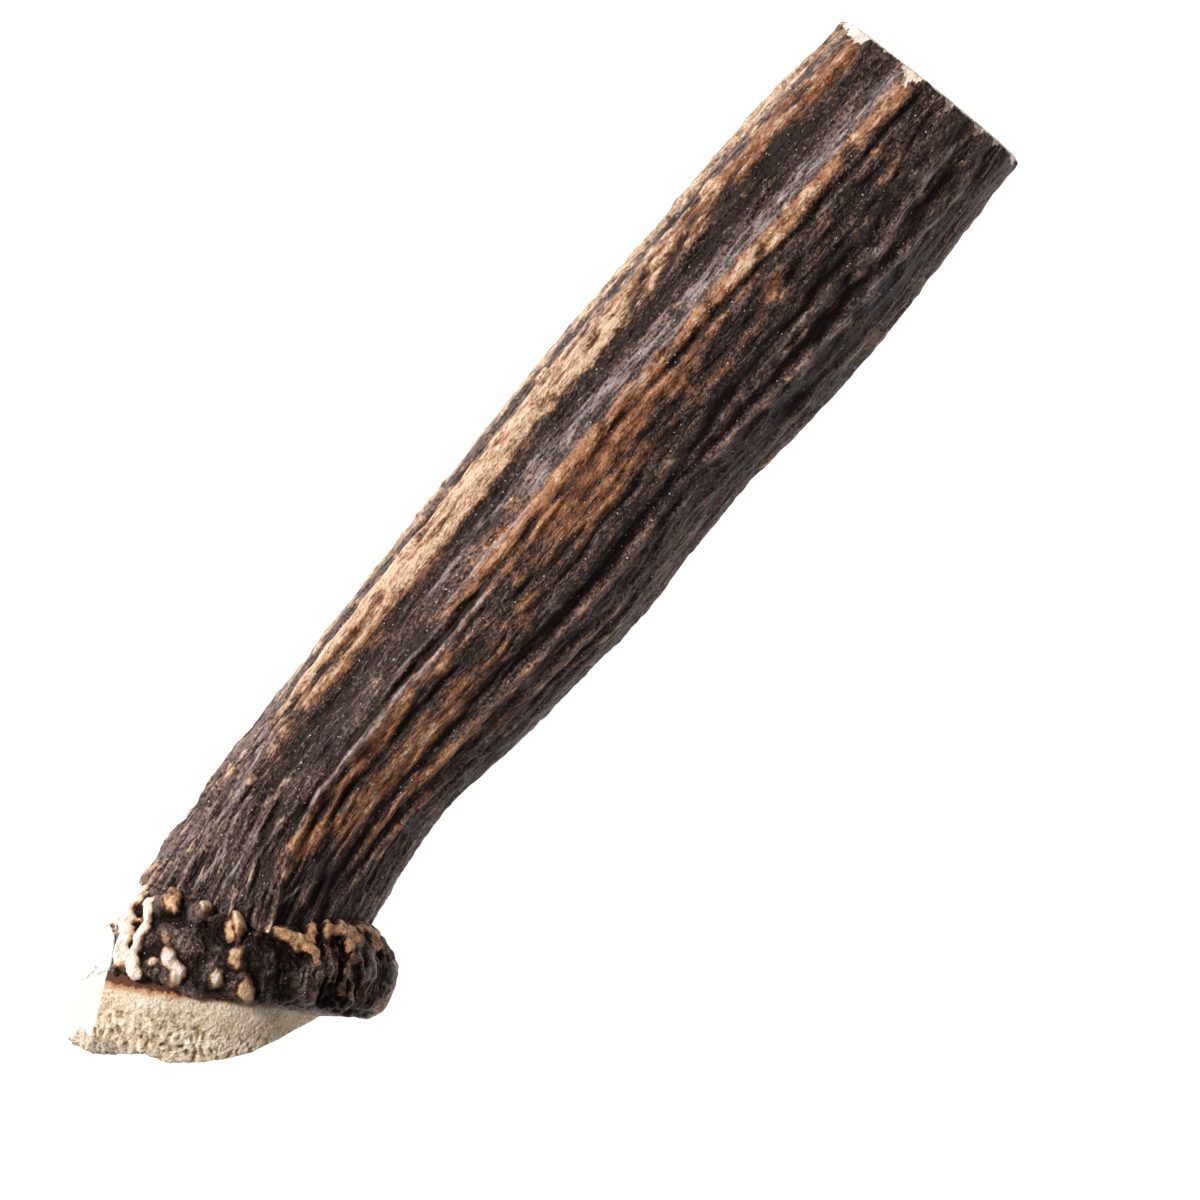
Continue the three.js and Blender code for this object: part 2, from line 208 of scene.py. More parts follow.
# Pearls on the visible side: height, aside, half sizes along and aside, rise, and worn tone,
# which is 1 for tan bone and 2 for bleached bone. The last is a bleached patch beside the facet.
PEARLS = [
    (13.1, 3, 1.5, 1.1, 1.3, 1.1), (12.9, 4.5, 1.4, 0.8, 1, 0.4), (8.7, 3.3, 1.3, 0.8, 0.8, 0.6),
    (12.7, -0.7, 1.2, 1.3, 1.2, 0.3), (12.7, -1.6, 0.8, 0.8, 1.3, 1.3), (11.4, -5, 1.5, 1.4, 1.4, 0.3),
    (11.3, -6.3, 1.5, 0.9, 1.7, 1.15), (10.1, -5.3, 0.8, 0.7, 1.1, 1), (7.3, -7, 1.6, 1.1, 1.2, 1),
    (5.9, 2.2, 1.6, 1.1, 1.5, 1.8), (4.2, 1.2, 1.4, 1, 1.3, 1.7), (3.4, 2.2, 0.9, 0.9, 0.9, 0.4),
    (4.9, 4.9, 0.8, 0.5, 0.6, 1.5), (4.3, -4.4, 1.4, 0.8, 1, 1.5), (3.2, -8.6, 1.7, 1.3, 1.4, 0.95),
    (3.3, -6.6, 0.9, 0.9, 0.8, 0.3), (10.7, -9, 0.8, 1, 0.5, 0.35), (3.6, -17.6, 1.4, 1.2, 0.9, 0.3),
    (3.5, -26.6, 1, 0.9, 0.9, 0.5), (10.6, 10.9, 2.2, 1.3, 0.1, 1.9),
]
# Raised veins of worn bone on the burr: half width, rise, tone, then (height, aside).
VEINS = [
    (0.9, 1.5, 1.7, [(15.8, 6.6), (14.5, 7.4), (12, 8.4), (9, 8.8), (6.5, 9), (4.6, 8.9)]),
    (0.7, 1.2, 1.6, [(12.6, 5.8), (10.9, 6.4), (9.2, 6.6), (7.4, 7.2), (5.2, 7.3), (3.8, 6.7)]),
    (0.7, 1.1, 1.7, [(7.2, 9), (5.2, 8.2), (3.8, 6.7)]),
    (0.9, 0.9, 0.85, [(11.9, -11.6), (11.4, -13), (10.9, -14.5), (10.4, -15.8), (11.7, -16.5),
        (12.5, -16.5)]),
    (0.8, 0.9, 0.75, [(10.4, -15.8), (9.4, -17.4), (8.2, -17.8)]),
    (0.75, 0.9, 0.8, [(12, -18.5), (12.8, -18.8), (12.7, -20.5), (12.4, -21.5), (11.3, -22.2),
        (10.3, -21.9)]),
    (0.75, 0.9, 0.8, [(13.3, -22.9), (13.6, -23.8), (12.8, -24.6), (11.1, -25.1)]),
    (0.55, 0.7, 0.45, [(11.5, -26.2), (10.3, -27), (8.8, -27.7)]),
    (0.55, 0.7, 0.55, [(3.2, -26.2), (3.7, -26.9), (5.1, -27.3), (6.8, -27.8)]),
    (0.5, 0.6, 0.45, [(4.6, -21.6), (5.8, -21.4), (7.3, -22.2), (9.3, -22.8)]),
    (0.5, 0.5, 0.3, [(9.9, -19.8), (7.9, -19.7), (5.5, -19.7)]),
    (0.5, 0.5, 0.3, [(8.7, -24.7), (6.1, -24.6), (3.5, -24)]),
]
HIDDEN_RIM = 13.8  # the height of the upper edge on the underside
# How far the ring's lower edge is lifted on the visible side: place aside and lift.
BURR_FOOT = [(-19, 0.6), (-11, 0.5), (-7, 0.6), (0, 1.3), (9, 2.2)]
BURR_RADIUS = 19.5  # for pearls that are placed by an angle
# Stray pearls on the sides and the back: how many, and the spans of angle, height and size.
STRAY_PEARLS = 40
STRAY_SPANS = [(118, 264), (1.5, 13), (0.9, 2.2)]
FOOT_PEARLS = [(156, 5, 3.4), (204, 5, 3.4)]  # the two large ones it stands on: angle, height, size

# ---- The stub and the flat cuts, in the burr's frame ----

STUB_SECTIONS = [
    (2.6, -1.4, 18, 16.8), (-1, -0.9, 18.2, 16.9), (-6, -0.5, 18, 16.4),
    (-11, -0.8, 17.2, 15.6),
]
STUB_TOP = 3.4  # inside the burr
# Each cut is a point on it and the way it faces: height, aside, up.
SAWN_FACET = ((0, 11.2, 14), (0.1, 1, 0.2))
STUB_CHIP = ((-7.4, 11, 12.5), (-0.75, 0.35, 0.56))
CRUMBLED_CORNER = (-5.7, 13.9)  # where the facet's edge bends above its broken corner: height, aside
# How far the dark line under the burr comes down the stub: place aside and height.
STAIN_EDGE = [(-10, 1.6), (-6, 1.2), (-2, 1.1), (12, 1.2)]
# The broken end's outline from above: place aside and height.
STUB_END = [
    (-20, 1.6), (-16.4, -1.1), (-14.3, -2.9), (-10.8, -5.3), (-7.1, -6.9), (-3.9, -7.6),
    (0.6, -8.4), (2.6, -8.1), (4.2, -7.6), (8.6, -8.4), (11.4, -8.8), (14.8, -8.1),
    (17, -6.8),
]

# How finely each piece is meshed: rows, then columns on its upper side and on the rest of it.
BARK_GRID = (380, 192, 66)
BURR_GRID = (132, 420, 170)
STUB_GRID = (90, 330, 80)


# ---- Curves, noise and frames ----


def smooth_run(rows, t):
    """Rows of a table joined by a Catmull-Rom curve, read at t from 0 to 1."""
    rows = np.asarray(rows, float)
    padded = np.vstack([2 * rows[0] - rows[1], rows, 2 * rows[-1] - rows[-2]])
    place = np.clip(t, 0, 1) * (len(rows) - 1)
    i = np.minimum(place.astype(int), len(rows) - 2)
    w = (place - i)[..., None]
    p0, p1, p2, p3 = (padded[i + k] for k in range(4))
    cubic = 3 * p1 - p0 - 3 * p2 + p3
    square = 2 * p0 - 5 * p1 + 4 * p2 - p3
    return 0.5 * (2 * p1 + (p2 - p0) * w + square * w**2 + cubic * w**3)


def read_table(table, at, column=1):
    """A column of a table, joined by straight lines, at places in its first column."""
    rows = np.array(sorted(table), float)
    return np.interp(at, rows[:, 0], rows[:, column])


def noise(points, seed):
    """Smooth noise, about -1 to 1, at points whose last axis is x, y, z in cells."""
    side = 32
    slopes = np.random.default_rng(seed).normal(size=(side, side, side, 3))
    slopes /= np.linalg.norm(slopes, axis=-1, keepdims=True)
    cell = np.floor(points).astype(int)
    inside = points - cell
    fade = inside**3 * (inside * (inside * 6 - 15) + 10)
    total = 0
    for corner in itertools.product((0, 1), repeat=3):
        at = (cell + corner) % side
        slope = slopes[at[..., 0], at[..., 1], at[..., 2]]
        weight = np.prod(np.where(corner, fade, 1 - fade), axis=-1)
        total += weight * np.sum(slope * (inside - corner), axis=-1)
    return 1.6 * total


def ridged(points, seed):
    """Noise with sharp crests and rounded hollows, about -0.5 to 0.5."""
    return 0.5 - 1.4 * np.abs(noise(points, seed))


def spot_distance(points, seed):
    """Distance in cells to the nearest of a crowd of random spots, one in each cell."""
    side = 24
    spots = np.random.default_rng(seed).random((side, side, side, 3))
    cell = np.floor(points).astype(int)
    nearest = np.full(points.shape[:-1], 9.0)
    for step in itertools.product((-1, 0, 1), repeat=3):
        at = cell + step
        wrapped = at % side
        spot = at + spots[wrapped[..., 0], wrapped[..., 1], wrapped[..., 2]]
        nearest = np.minimum(nearest, np.linalg.norm(points - spot, axis=-1))
    return nearest


def shaken(points, cell, amount, seed):
    """Points moved about by smooth noise, so that what is drawn at them gets uneven outlines."""
    moves = [noise(points / cell, seed + k) for k in range(points.shape[-1])]
    return points + amount * np.stack(moves, -1)


def bump(distance):
    """A smooth hump, 1 in its middle and nearly 0 at twice its size."""
    return np.exp(-(distance**2))


def ease(low, high, value):
    """Rises smoothly from 0 at low to 1 at high."""
    s = np.clip((value - low) / (high - low), 0, 1)
    return s * s * (3 - 2 * s)


def sideways(tilt):
    """The level direction across an axis that is turned by tilt from the beam's."""
    a = np.radians(tilt)
    return np.stack([-np.sin(a), np.cos(a), 0 * a], -1)


UP = np.array([0.0, 0.0, 1.0])
BURR_ASIDE = sideways(BURR_TILT)
BURR_AXES = np.array([np.cross(BURR_ASIDE, UP), BURR_ASIDE, UP])


def from_burr_frame(points):
    """Points of the burr's frame in the growth frame."""
    return points @ BURR_AXES


def angle_gap(angle, centre):
    """How far an angle is past another, from -180 to 180."""
    return (angle - centre + 180) % 360 - 180


def unequal_angles(top_count, rest_count):
    """Angles round a section from the top, closer together on the side that faces up."""
    edge = 95
    top = np.linspace(-edge, edge, top_count, endpoint=False)
    rest = np.linspace(edge, 360 - edge, rest_count, endpoint=False)
    return np.concatenate([top, rest])


# ---- Meshes ----


def grid_quads(rows, columns, wrap_rows):
    """Quads of a grid that closes round its columns, and round its rows if wrap_rows."""
    i, j = np.meshgrid(np.arange(rows if wrap_rows else rows - 1), np.arange(columns), indexing="ij")
    right = (j + 1) % columns
    here = i * columns
    above = (i + 1) % rows * columns
    return np.stack([here + j, here + right, above + right, above + j], -1).reshape(-1, 4)


def add_object(name, data):
    obj = bpy.data.objects.new(name, data)
    bpy.context.scene.collection.objects.link(obj)
    return obj


def make_mesh(name, grid, attributes, capped=False):
    """A mesh object from a grid of points in mm in the growth frame.

    The grid closes round its columns. Its last row joins its first, or both end in a cap.
    """
    rows, columns = grid.shape[:2]
    faces = grid_quads(rows, columns, not capped).tolist()
    vertices = grid.reshape(-1, 3)
    first, last = np.arange(columns), np.arange(columns) + (rows - 1) * columns
    for ring in (first[::-1], last) if capped else ():
        hub = len(vertices)
        vertices = np.vstack([vertices, np.mean(vertices[ring], axis=0)])
        faces += [[hub, a, b] for a, b in zip(ring, np.roll(ring, -1))]
    mesh = bpy.data.meshes.new(name)
    mesh.from_pydata(((vertices + TO_FOOTPRINT) * MM).tolist(), [], faces)
    hubs = len(vertices) - rows * columns
    for key, values in attributes.items():
        if values.ndim == grid.ndim:
            kind, part = "FLOAT_VECTOR", "vector"
            flat = np.pad(values.ravel(), (0, 3 * hubs))
        else:
            kind, part = "FLOAT", "value"
            flat = np.pad(values.ravel(), (0, hubs), mode="edge")
        layer = mesh.attributes.new(key, kind, "POINT")
        layer.data.foreach_set(part, flat.astype(np.float32))
    mesh.validate()
    mesh.shade_smooth()
    return add_object(name, mesh)


# ---- The beam's bark ----


def map_angle(points, angle):
    """The angle that places bark features, from where a point lies between the beam's edges.

    On the sides and underneath it becomes the angle round the section.
    """
    far, near = (read_table(BEAM_EDGES, points[..., 0], column) for column in (1, 2))
    across = (points[..., 1] - (far + near) / 2) / ((far - near) / 2)
    seen_from_above = np.degrees(np.arcsin(np.clip(across, -1, 1)))
    own = angle_gap(angle, 0) + 0 * across
    share = ease(58, 84, np.abs(own))
    return seen_from_above * (1 - share) + own * share


def line_strength(x, degrees, radius, width, path, wander):
    """How strongly a ridge or groove along a path is felt at each point, from 0 to 1."""
    xs, angles = np.array(path, float).T
    centre = np.interp(x, xs, angles) + wander
    ends = ease(xs[0] - 1, xs[0] + 3, x) * (1 - ease(xs[-1] - 3, xs[-1] + 1, x))
    away = np.radians(degrees - centre) * radius
    return ends * bump(away / width)


def patch_strength(x, degrees, patches):
    total = 0
    for px, angle, half_length, half_angle, strength in patches:
        total += strength * bump(np.hypot((x - px) / half_length, (degrees - angle) / half_angle))
    return total


def beam_grid(t, angle):
    """The smooth beam: its points, outward normals and radius."""
    section = smooth_run(BEAM_SECTIONS, t)
    centre = section[:, None, :3]
    aside = sideways(section[:, 3, None])
    half_width, half_depth = (section[:, k, None, None] for k in (4, 5))
    side = np.sin(np.radians(angle))[None, :, None]
    top = np.cos(np.radians(angle))[None, :, None]
    rise = sum(h * bump(angle_gap(angle, a) / w) for a, h, w in BROAD_RIDGES)[None, :, None]
    points = centre + aside * side * (half_width + rise) + UP * top * (half_depth + rise)
    normals = aside * side * half_depth + UP * top * half_width
    normals /= np.linalg.norm(normals, axis=-1, keepdims=True)
    return points, normals, half_width[..., 0]


def inner_rings(t, angle, share):
    """Rings of the smooth beam at each t, drawn in to a share of its width."""
    centre = smooth_run(BEAM_SECTIONS, t)[:, None, :3]
    return centre + (beam_grid(t, angle)[0] - centre) * share


def bark_relief(points, degrees, radius):
    """Relief in mm on the beam, the attributes that its material reads, and its grain's place."""
    x = points[..., 0]
    # Noise is read on a straight rod. Near the burr the fibres swing towards the burr's axis.
    rod = 16
    swing = 0.007 * np.clip(35 - x, 0, 25) ** 2 / rod
    turn = np.radians(degrees) + swing * np.cos(np.radians(degrees))
    ring = np.stack([x, rod * np.cos(turn), rod * np.sin(turn)], -1)
    wander = 1.4 * noise(ring / [7, 5, 5], 1) + 0.7 * noise(ring / [3, 2.5, 2.5], 9)
    lumpy = np.clip(patch_strength(x, degrees, LUMPY_PATCHES), 0, 1)
    smooth = np.clip(patch_strength(x, degrees, SMOOTH_PATCHES), 0, 1)

    bent = shaken(ring, [9, 4, 4], 0.9, 2)
    fibres = 0.62 * ridged(bent / [22, 2.4, 2.4], 12) + 0.44 * ridged(bent / [11, 1.25, 1.25], 13)
    fibres += 0.24 * ridged(bent / [5, 0.75, 0.75], 14)
    lumps = 0.7 * noise(bent / [4.2, 1.8, 1.8], 8) + 0.36 * ridged(bent / [3, 1.3, 1.3], 15)
    # Just above the burr the fibres stand out more, except on the near side.
    fibres *= 1 + 0.9 * ease(44, 26, x) * ease(-30, 5, degrees)
    detail = fibres * (1 - 0.65 * lumpy) + lumps * lumpy
    detail = detail * (1 - 0.75 * smooth) + 0.13 * noise(ring / [1.6, 0.7, 0.7], 6)

    ridges = np.zeros_like(x)
    warmth = patch_strength(x, degrees, WARM_PATCHES)
    for width, height, warm, path in RIDGES:
        strength = line_strength(x, degrees, radius, width, path, wander)
        ridges += height * strength
        warmth += 0.55 * warm * strength
    for width, depth, path in GROOVES:
        ridges -= depth * line_strength(x, degrees, radius, width, path, wander)
    pits = np.zeros_like(x)
    for px, pit_angle, half_length, half_width, depth, climb in PITS:
        across = np.radians(degrees - pit_angle - climb * (x - px) - wander) * radius
        pits += depth * bump(np.hypot((x - px) / half_length, across / half_width))
    ridges -= pits
    warmth -= 1.6 * pits
    # Painted highlights and sheen along narrow crests and streaks, which the material paints pale.
    light = np.zeros_like(x)
    for width, strength, path in PAINTED_SHEEN_LINES:
        light = np.maximum(light, strength * line_strength(x, degrees, radius, width, path, wander))
    blotches = 0.3 * noise(ring / [6, 2, 2], 16) + 0.22 * noise(ring / [2.4, 1, 1], 17)
    warmth = warmth + blotches + 0.45 * detail + 0.35 * ridges
    pale = patch_strength(x, degrees, PALE_PATCHES) + 0.8 * blotches + 0.5 * detail + 0.5 * ridges
    # The far side of the beam, which faces the key light, is painted pale from its upper edge to a little
    # below the middle: partly pale worn bark, partly a painted highlight.
    start = 71 - 7 * ease(96, 112, x)
    far_side_pale_and_highlight = ease(0, 9, degrees - start + 6 * blotches + 5 * noise(ring / [9, 3, 3], 18))
    far_side_pale_and_highlight *= 1 - ease(90, 106, degrees + 14 * noise(ring / [12, 4, 4], 20))
    pale = np.maximum(pale, 0.8 * far_side_pale_and_highlight * ease(34, 46, x))
    relief = detail + 0.85 * ridges + 0.15 * light
    dark = patch_strength(x, degrees, DARK_PATCHES)
    crest = 0.5 + 0.75 * relief - 0.7 * pits - 0.24 * dark
    tones = {"crest": crest, "warm": warmth - 0.4 * dark, "pale": pale, "light": light, "polish": smooth}
    tones = {key: np.clip(values, 0, 1) for key, values in tones.items()}
    return relief, tones, ring


def edge_chips(x, degrees):
    """Where the bark is missing along the sawn edge, from 0 to 1."""
    mm_per_degree = 0.27
    place = np.stack([x, mm_per_degree * degrees, 0 * x], -1)
    ragged = 0.8 * noise(place, 19) + 0.5 * noise(place / 0.45, 23)
    room = 0.25 + 0.4 * noise(place / [50, 2.5, 2.5], 24)
    for angle, half_angle, reach in EDGE_CHIPS:
        fullness = np.clip(1 - np.abs(angle_gap(degrees, angle) / half_angle), 0, 1) ** 0.7
        room = np.maximum(room, reach * fullness)
    return ease(-0.25, 0.25, room - (BEAM_END - x) + ragged * np.clip(room, 0, 1))


def build_bark():
    t = np.linspace(0, 1, BARK_GRID[0])
    angle = unequal_angles(*BARK_GRID[1:])
    points, normals, radius = beam_grid(t, angle)
    degrees = map_angle(points, angle[None, :])
    relief, tones, ring = bark_relief(points, degrees, radius)
    bare = edge_chips(points[..., 0], degrees)
    points = points + normals * (relief * (1 - 0.7 * bare) - 0.35 * bare)[..., None]
    points[-1, :, 0] = BEAM_END

    centre = np.array(BEAM_SECTIONS[-1][:3])
    face = centre + (points[-1] - centre) * np.linspace(0.97, BORE_SHARE, 10)[:, None, None]
    bore = inner_rings(np.linspace(1, 0, 12), angle, BORE_SHARE)
    rows = np.concatenate([points, face, bore])

    def extended(values, tail):
        return np.pad(values, ((0, len(rows) - len(values)), (0, 0)), constant_values=tail)

    attributes = {key: extended(values, 0) for key, values in tones.items()}
    attributes["bare"] = extended(bare, 1)
    attributes["grain"] = np.concatenate([ring, rows[len(points) :]])
    return make_mesh("antler_bark", rows, attributes)


# ---- The spongy core ----


def build_core():
    angle = np.linspace(-180, 180, 150, endpoint=False)
    spread = np.linspace(1, 0.02, 44)[:, None]
    face = inner_rings(np.ones(len(spread)), angle, CORE_SHARE * spread[..., None])
    pores = np.clip(-noise(face / 1.1, 21) - 0.5 * noise(face / 0.6, 22), 0, 1)
    # The soft core is worn a little below the wall's cut, and deeper in its pores.
    face[..., 0] -= 0.25 + pores * 0.7 * ease(1, 0.9, spread)
    side = inner_rings(np.linspace(0, 1, 14)[:-1], angle, CORE_SHARE)
    rows = np.concatenate([side, face])
    pores = np.concatenate([np.zeros(side.shape[:2]), pores])
    return make_mesh("antler_core", rows, {"pore": pores, "grain": rows}, capped=True)


# ---- The burr ----


def facet_clamp(points, smooth_points, centre, sunk, margin):
    """Cuts a grid flat at the sawn facet, and says where it did, as 0 or 1.

    Points beyond the cut, and all whose smooth surface comes within the margin of it, move
    along the line to the centre of their section until they lie on it.
    """
    spot, faces = (np.array(v, float) for v in SAWN_FACET)
    faces /= np.linalg.norm(faces)
    beyond = (points - spot) @ faces + sunk
    cut = (beyond > 0) | ((smooth_points - spot) @ faces + sunk > -margin)
    reach = np.maximum((points - centre) @ faces, 1e-6)
    share = np.where(cut, beyond / reach, 0)
    return points - (points - centre) * share[..., None], cut.astype(float)


def section_rows(table, height):
    """Centre aside, half width and half depth of a table of sections at each height."""
    return [read_table(table, height, column) for column in (1, 2, 3)]


def squarish(angle):
    """Shares of the half width and half depth at each angle round a squarish section."""
    turn = np.radians(angle)[None, :]
    return [np.sign(w) * np.abs(w) ** (2 / SQUARENESS) for w in (np.sin(turn), np.cos(turn))]


def burr_base(angle):
    """The ring before its pearls, in the burr's frame, and its section centres."""
    # The start of the profile, which is hidden, gets fewer rows.
    t = np.interp(np.linspace(0, 1, BURR_GRID[0]), [0, 0.12, 1], [0, 0.22, 1])
    height, inset = smooth_run(BURR_PROFILE, t).T
    height = height[:, None] * np.ones(len(angle))
    turn = np.radians(angle)[None, :]
    across, deep = squarish(angle)
    rough_middle, rough_radius = -7, 20
    rough_aside = rough_middle + rough_radius * across
    rim = np.where(np.cos(turn) > 0, read_table(BURR_RIM, rough_aside), HIDDEN_RIM)
    wave = 0.7 * noise(np.stack([2.1 * np.cos(turn), 2.1 * np.sin(turn), 0 * turn], -1) * 1.6, 31)
    foot = read_table(BURR_FOOT, rough_aside) * ease(-0.2, 0.3, np.cos(turn))
    # The profile is stretched upwards from its waist to the rim, and downwards to the foot.
    waist, to_rim, to_foot = 7, 7.2, 6.2
    stretch = np.where(height > waist, (rim + wave - waist) / to_rim, 1 - foot / to_foot)
    height = waist + (height - waist) * stretch
    middle, half_width, half_depth = section_rows(BURR_SECTIONS, height)
    reach = 1 - inset[:, None] / rough_radius
    points = np.stack([height, middle + across * half_width * reach, deep * half_depth * reach], -1)
    centre = np.stack([height, middle, 0 * height], -1)
    return points, centre


def grid_normals(points, centre):
    """Unit normals, facing away from centre, of a grid that closes round its columns."""
    along = np.gradient(points, axis=0)
    around = np.roll(points, -1, axis=1) - np.roll(points, 1, axis=1)
    normals = np.cross(around, along)
    facing = np.sign(np.sum(normals * (points - centre)))
    return facing * normals / np.maximum(np.linalg.norm(normals, axis=-1, keepdims=True), 1e-9)


def vein_strength(height, aside, width, path):
    path = np.array(path, float)
    nearest = np.full(height.shape, 1e9)
    for (h0, a0), (h1, a1) in zip(path[:-1], path[1:]):
        run = np.array([h1 - h0, a1 - a0])
        share = np.clip(((height - h0) * run[0] + (aside - a0) * run[1]) / (run @ run), 0, 1)
        nearest = np.minimum(nearest, np.hypot(height - h0 - share * run[0], aside - a0 - share * run[1]))
    return dome(nearest / width)


def dome(distance):
    """A rounded knob's height at a distance from its middle, both as shares of its size."""
    return np.clip(1 - distance**2, 0, 1) ** 0.75


def burr_relief(points, angle):
    """Relief in mm on the burr, and the crest of its tone and how worn it is, from 0 to 1."""
    seen = ease(-2, 2, points[..., 2])
    uneven = shaken(shaken(points, 2.6, 0.6, 51), 1.1, 0.28, 54)
    height, aside = uneven[..., 0], uneven[..., 1]
    end_wrinkles = ease(-15, -21, points[..., 1])
    folds = ridged(uneven / [7.5, 1.25, 1.6], 32)
    relief = noise(points / 4.2, 33) + (0.38 + 0.75 * end_wrinkles) * folds
    crackle = ridged(uneven / [2.4, 1.1, 1.1], 36)
    relief = relief + 0.25 * (1 - 0.5 * end_wrinkles) * crackle + 0.1 * noise(points / 0.8, 34)
    relief += 0.13 * ridged(uneven / [3, 0.8, 0.8], 38)
    lines = ease(0.3, 0.5, folds + 0.3 * noise(points / 2.2, 37))
    # Beside the facet the upper part of the ring is nearly smooth.
    facet_angle, facet_spread = 100, 32
    near_facet = bump(angle_gap(angle, facet_angle) / facet_spread)[None, :] * ease(7, 10, points[..., 0])
    relief = relief * (1 - 0.85 * near_facet) - 0.4 * near_facet
    worn = (0.1 + 0.4 * end_wrinkles) * lines
    rub = 0.3 * noise(points / 0.9, 56) + 0.25 * noise(points / 2, 57)
    knobs = np.zeros_like(relief)
    for h, a, half_h, half_a, rise, tone in PEARLS:
        # A shallow moat runs round each knob, and its worn spot lies a little to one side.
        mound = np.hypot((height - h) / half_h, (aside - a - 0.3) / half_a) / 1.5
        knobs = np.maximum(knobs, 1.2 * rise * seen * dome(mound)) - 0.3 * seen * bump((mound - 1.13) / 0.2)
        rubbed = np.hypot((height - h) / half_h, (aside - a) / half_a)
        worn = np.maximum(worn, 1.08 * tone * seen * ease(1.3, 0.35, rubbed + rub))
    uneven_width = 1 + 0.5 * noise(points / 1.5, 55)
    for width, rise, tone, path in VEINS:
        strength = seen * vein_strength(height, aside, 1.3 * width * uneven_width, path)
        knobs = np.maximum(knobs, rise * strength)
        worn = np.maximum(worn, tone * ease(0.35, 0.9, strength - 0.4 * rub))
    rng = np.random.default_rng(35)
    strays = [rng.uniform(*span, STRAY_PEARLS) for span in STRAY_SPANS]
    for a, h, size in [*zip(*strays), *FOOT_PEARLS]:
        arc = np.radians(angle_gap(angle[None, :], a)) * BURR_RADIUS
        strength = dome(np.hypot(height - h, arc + 0.5 * (aside - points[..., 1])) / size)
        knobs = np.maximum(knobs, 0.75 * size * strength)
        worn = np.maximum(worn, 0.9 * ease(0.5, 0.9, strength - 0.5 * rub))
    # The skin dips between the pearls and the tan veins, where its tone is darkened as painted shade,
    # is lifted among the pearls as a painted sheen, and darkens again at the outer end.
    shaded_hollow = seen * bump(np.hypot((height - 7) / 4.5, (aside + 11) / 4.5))
    painted_gleam = seen * bump(np.hypot((height - 8) / 3, (aside + 1) / 3.5))
    outer_end = ease(-21, -26, points[..., 1])
    # The tone follows the relief, so the material paints shade into the crevices and a grey sheen onto the
    # crests.
    crest = 0.32 + 0.85 * relief + 0.08 * knobs + 0.25 * painted_gleam
    crest = crest - 0.6 * shaded_hollow - 0.12 * end_wrinkles - 0.3 * outer_end
    relief = relief * (1 - 0.6 * np.clip(knobs, 0, 1)) + knobs - 0.8 * shaded_hollow
    return relief, np.clip(crest, 0, 1), np.clip(worn / 2, 0, 1)


def build_burr():
    angle = unequal_angles(*BURR_GRID[1:])
    points, centre = burr_base(angle)
    relief, crest, worn = burr_relief(points, angle)
    height, up = points[..., 0], points[..., 2]
    raised = points + grid_normals(points, centre) * (relief * ease(0.95, 1.8, height))[..., None]
    # The cut goes deeper towards the rim. Clean bone reaches past its edge, and least by the rim.
    sunk = 0.05 * np.clip(height - 4, 0, None)
    margin = (0.6 + 1.2 * ease(6, -2, up)) * (0.1 + 0.9 * ease(9, 5.5, height))
    raised, cut = facet_clamp(raised, points, centre, sunk, margin)
    attributes = {"crest": crest, "worn": worn, "lip": ease(2, 1, height), "cut": cut, "grain": raised}
    return make_mesh("antler_burr", from_burr_frame(raised), attributes)


# ---- The stub ----


def end_height(aside, up):
    """How low the stub reaches at each place, from its broken end and the chip in its corner."""
    low = read_table(STUB_END, aside)
    (h, a, u), (faces_h, faces_a, faces_u) = STUB_CHIP
    chip = h - (faces_a * (aside - a) + faces_u * (up - u)) / faces_h
    return np.maximum(low, chip), chip - low


def build_stub():
    angle = unequal_angles(*STUB_GRID[1:])
    across, deep = squarish(angle)
    # The section halfway down shows roughly where each column meets the broken end.
    mid_height = np.full(across.shape, -4.0)
    middle, half_width, half_depth = section_rows(STUB_SECTIONS, mid_height)
    low, _ = end_height(middle + across * half_width, deep * half_depth)
    least_length = 0.6
    low = np.minimum(low, STUB_TOP - least_length)
    height = STUB_TOP + (low - STUB_TOP) * np.linspace(0, 1, STUB_GRID[0])[:, None]
    middle, half_width, half_depth = section_rows(STUB_SECTIONS, height)
    side = np.stack([height, middle + across * half_width, deep * half_depth], -1)

    def drawn_in(row, start, end, count):
        """Rings inside a row, from one share of its width to another."""
        spread = np.linspace(start, end, count)[:, None]
        return middle[row] + (side[row, :, 1] - middle[row]) * spread, side[row, :, 2] * spread

    cap_aside, cap_up = drawn_in(-1, 0.98, 0.02, 56)
    cap_low, chip_depth = end_height(cap_aside, cap_up)
    cap = np.stack([cap_low, cap_aside, cap_up], -1)
    lid_aside, lid_up = drawn_in(0, 0.1, 0.9, 5)
    lid = np.stack([np.full(lid_up.shape, STUB_TOP), lid_aside, lid_up], -1)

    base = np.concatenate([lid, side, cap])
    centre = base * [1, 0, 0]
    centre[..., 1] = np.pad(middle, ((len(lid), len(cap)), (0, 0)), mode="edge")
    chip = np.pad(ease(-0.3, 0.5, chip_depth), ((len(lid) + len(side), 0), (0, 0)))
    relief, pores = stub_relief(base, chip)
    points = base + grid_normals(base, centre) * relief[..., None]
    points, cut = facet_clamp(points, base, centre, sunk=0.06, margin=0)
    broken = cut * broken_corner(points)
    points[..., 1] -= broken * (0.45 + 0.8 * noise(points / 0.9, 50))
    # The dark line under the burr thins out towards the middle of the stub.
    stain = points[..., 0] - read_table(STAIN_EDGE, points[..., 1])
    attributes = {
        "crest": np.clip(0.5 + 0.8 * relief, 0, 1),
        "pore": pores,
        "stain": stain + 0.35 * noise(base / 1.1, 44) + 0.35 * noise(base / 3, 45),
        "chip": np.maximum(chip, broken),
        "cut": cut * (1 - broken),
        "grain": points,
    }
    return make_mesh("antler_stub", from_burr_frame(points), attributes, capped=True)


